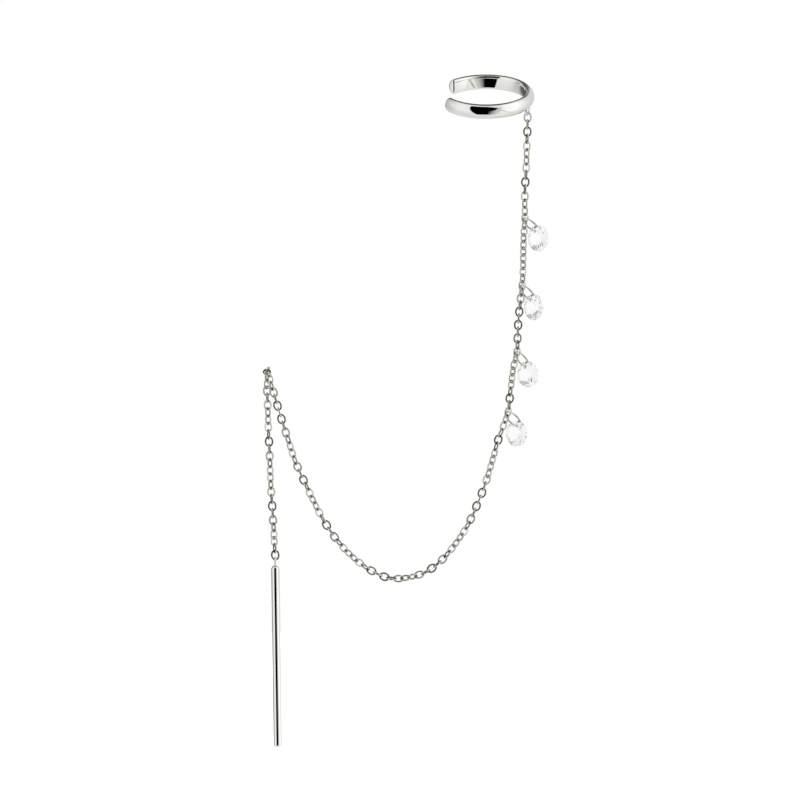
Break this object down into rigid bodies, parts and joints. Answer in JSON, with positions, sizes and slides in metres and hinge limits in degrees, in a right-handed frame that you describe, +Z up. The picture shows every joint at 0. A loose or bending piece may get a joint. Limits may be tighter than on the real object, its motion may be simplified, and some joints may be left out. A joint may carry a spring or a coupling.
{
  "type": "ear chain earring",
  "caption": "Ear chain earring: an open domed ear cuff, a fine cable chain with drilled round stones on jump rings, and a plain round threader bar.",
  "frame": {"origin": "centre of the ear cuff, where the rim of the ear sits", "axes": "+Z up, as the earring hangs; +X across the ear, from the lobe side to the cuff side; -Y towards the viewer"},
  "size_m": [0.0358, 0.0114, 0.0841],
  "materials": {
    "white_metal": "high polish white metal, such as rhodium plated silver",
    "clear_stone": "colourless faceted stone, polished"
  },
  "bodies": {
    "cuff_and_chain": {"ear_cuff": "white_metal", "chain": "white_metal", "drop_ring_1": "white_metal", "drop_ring_2": "white_metal", "drop_ring_3": "white_metal", "drop_ring_4": "white_metal", "stone_1": "clear_stone", "stone_2": "clear_stone", "stone_3": "clear_stone", "stone_4": "clear_stone"},
    "bar": {"threader_bar": "white_metal"}
  },
  "joints": [
    {"name": "bar_swing", "type": "hinge", "parent": "cuff_and_chain", "child": "bar", "pos_m": [-0.02635, -0.0013, -0.05789], "axis": [0.9999, 0, 0.014], "range_deg": [-75, 75]}
  ]
}
